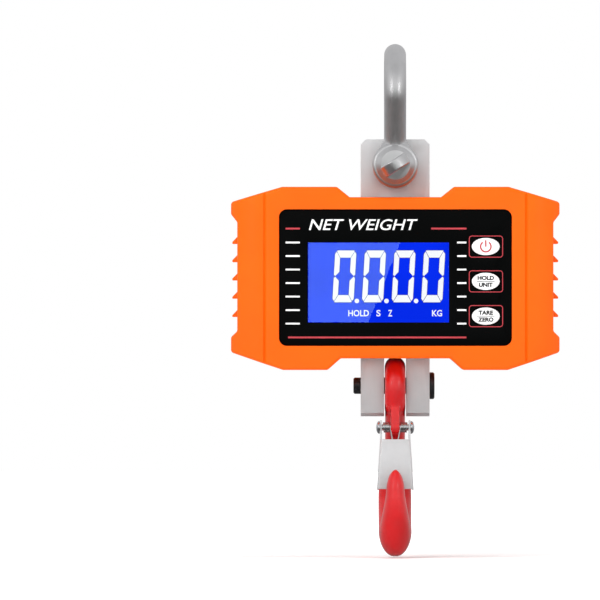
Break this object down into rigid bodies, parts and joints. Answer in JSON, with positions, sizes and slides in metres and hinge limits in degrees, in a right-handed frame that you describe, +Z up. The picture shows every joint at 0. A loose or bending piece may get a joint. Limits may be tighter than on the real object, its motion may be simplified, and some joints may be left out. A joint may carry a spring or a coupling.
{
  "type": "crane scale",
  "caption": "Hanging crane scale: a bow shackle above, a load cell with an orange display housing, and a red safety hook with a spring latch below.",
  "frame": {"origin": "inside crown of the shackle's bow, where the scale hangs", "axes": "+Z up along the line of pull, +X to the right of someone reading the display, along the clevis bolt, -Y out of the display"},
  "size_m": [0.21, 0.0745, 0.3281],
  "materials": {
    "forged_steel": "polished stainless forging",
    "cell_alloy": "fine-milled, matt nickel plated plate",
    "black_oxide": "black oxide bolt",
    "orange_abs": "satin moulded ABS with a fine spark texture",
    "black_panel": "printed matt film on a rigid sheet",
    "window_acrylic": "clear acrylic",
    "lcd_blue": "lit blue liquid crystal glass",
    "light_guide": "milky light guide",
    "black_nylon": "moulded black nylon",
    "white_keys": "white printed polycarbonate",
    "switch_metal": "tinned steel switch cover",
    "solder_mask": "green solder mask on glass-fibre laminate",
    "chip_epoxy": "moulded black epoxy",
    "ivory_nylon": "natural nylon",
    "black_rubber": "moulded nitrile rubber",
    "white_silicone": "silicone sealant",
    "gauge_foil": "constantan foil on an amber film",
    "bright_zinc": "bright zinc plated steel",
    "cell_wrap": "printed shrink sleeve",
    "grey_pvc": "PVC insulated lead",
    "plate_aluminium": "brushed anodised aluminium",
    "red_enamel": "glossy red powder enamel on a forging",
    "latch_zinc": "zinc plated pressing",
    "spring_steel": "oiled music wire"
  },
  "bodies": {
    "shackle": {"shackle_bow": "forged_steel"},
    "shackle_pin": {"shackle_pin": "forged_steel"},
    "scale_body": {"load_cell": "cell_alloy", "strain_gauges": "gauge_foil", "gauge_potting": "white_silicone", "load_cell_screws": "bright_zinc", "load_cell_cable": "grey_pvc", "clevis_bolt": "black_oxide", "front_shell": "orange_abs", "rear_shell": "orange_abs", "shell_gasket": "black_rubber", "upper_seal": "black_rubber", "lower_seal": "black_rubber", "shell_screws": "bright_zinc", "front_panel": "black_panel", "display_window": "window_acrylic", "lcd_glass": "lcd_blue", "lcd_backlight": "light_guide", "lcd_frame": "black_nylon", "key_switches": "switch_metal", "main_board": "solder_mask", "board_screws": "bright_zinc", "controller_chip": "chip_epoxy", "converter_chip": "chip_epoxy", "crystal_can": "bright_zinc", "power_regulator": "chip_epoxy", "board_sockets": "ivory_nylon", "buzzer": "chip_epoxy", "battery_tray": "black_nylon", "battery_cells": "cell_wrap", "battery_contacts": "bright_zinc", "battery_leads": "grey_pvc", "battery_door": "orange_abs", "door_seal": "black_rubber", "door_screws": "bright_zinc", "rating_plate": "plate_aluminium"},
    "power_key": {"power_key_cap": "white_keys", "power_switch_plunger": "black_nylon"},
    "hold_key": {"hold_key_cap": "white_keys", "hold_switch_plunger": "black_nylon"},
    "tare_key": {"tare_key_cap": "white_keys", "tare_switch_plunger": "black_nylon"},
    "hook": {"hook": "red_enamel", "latch_rivet": "latch_zinc"},
    "latch": {"latch_plate": "latch_zinc", "latch_spring": "spring_steel"}
  },
  "joints": [
    {"name": "shackle_swing", "type": "hinge", "parent": "shackle", "child": "scale_body", "pos_m": [0, 0, -0.0639], "axis": [0, 1, 0], "range_deg": [-90, 90]},
    {"name": "pin_withdraw", "type": "slide", "parent": "shackle", "child": "shackle_pin", "axis": [0, -1, 0], "range_m": [0, 0.045]},
    {"name": "hook_swing", "type": "hinge", "parent": "scale_body", "child": "hook", "pos_m": [0, 0, -0.205], "axis": [1, 0, 0], "range_deg": [-60, 60]},
    {"name": "latch_open", "type": "hinge", "parent": "hook", "child": "latch", "pos_m": [0, -0.013, -0.2316], "axis": [1, 0, 0], "range_deg": [0, 38], "stiffness_Nm_per_rad": 0.06, "springref_deg": -34.38},
    {"name": "power_press", "type": "slide", "parent": "scale_body", "child": "power_key", "axis": [0, 1, 0], "range_m": [0, 0.0005], "stiffness_N_per_m": 1200, "springref_m": -0.0008},
    {"name": "hold_press", "type": "slide", "parent": "scale_body", "child": "hold_key", "axis": [0, 1, 0], "range_m": [0, 0.0005], "stiffness_N_per_m": 1200, "springref_m": -0.0008},
    {"name": "tare_press", "type": "slide", "parent": "scale_body", "child": "tare_key", "axis": [0, 1, 0], "range_m": [0, 0.0005], "stiffness_N_per_m": 1200, "springref_m": -0.0008}
  ]
}
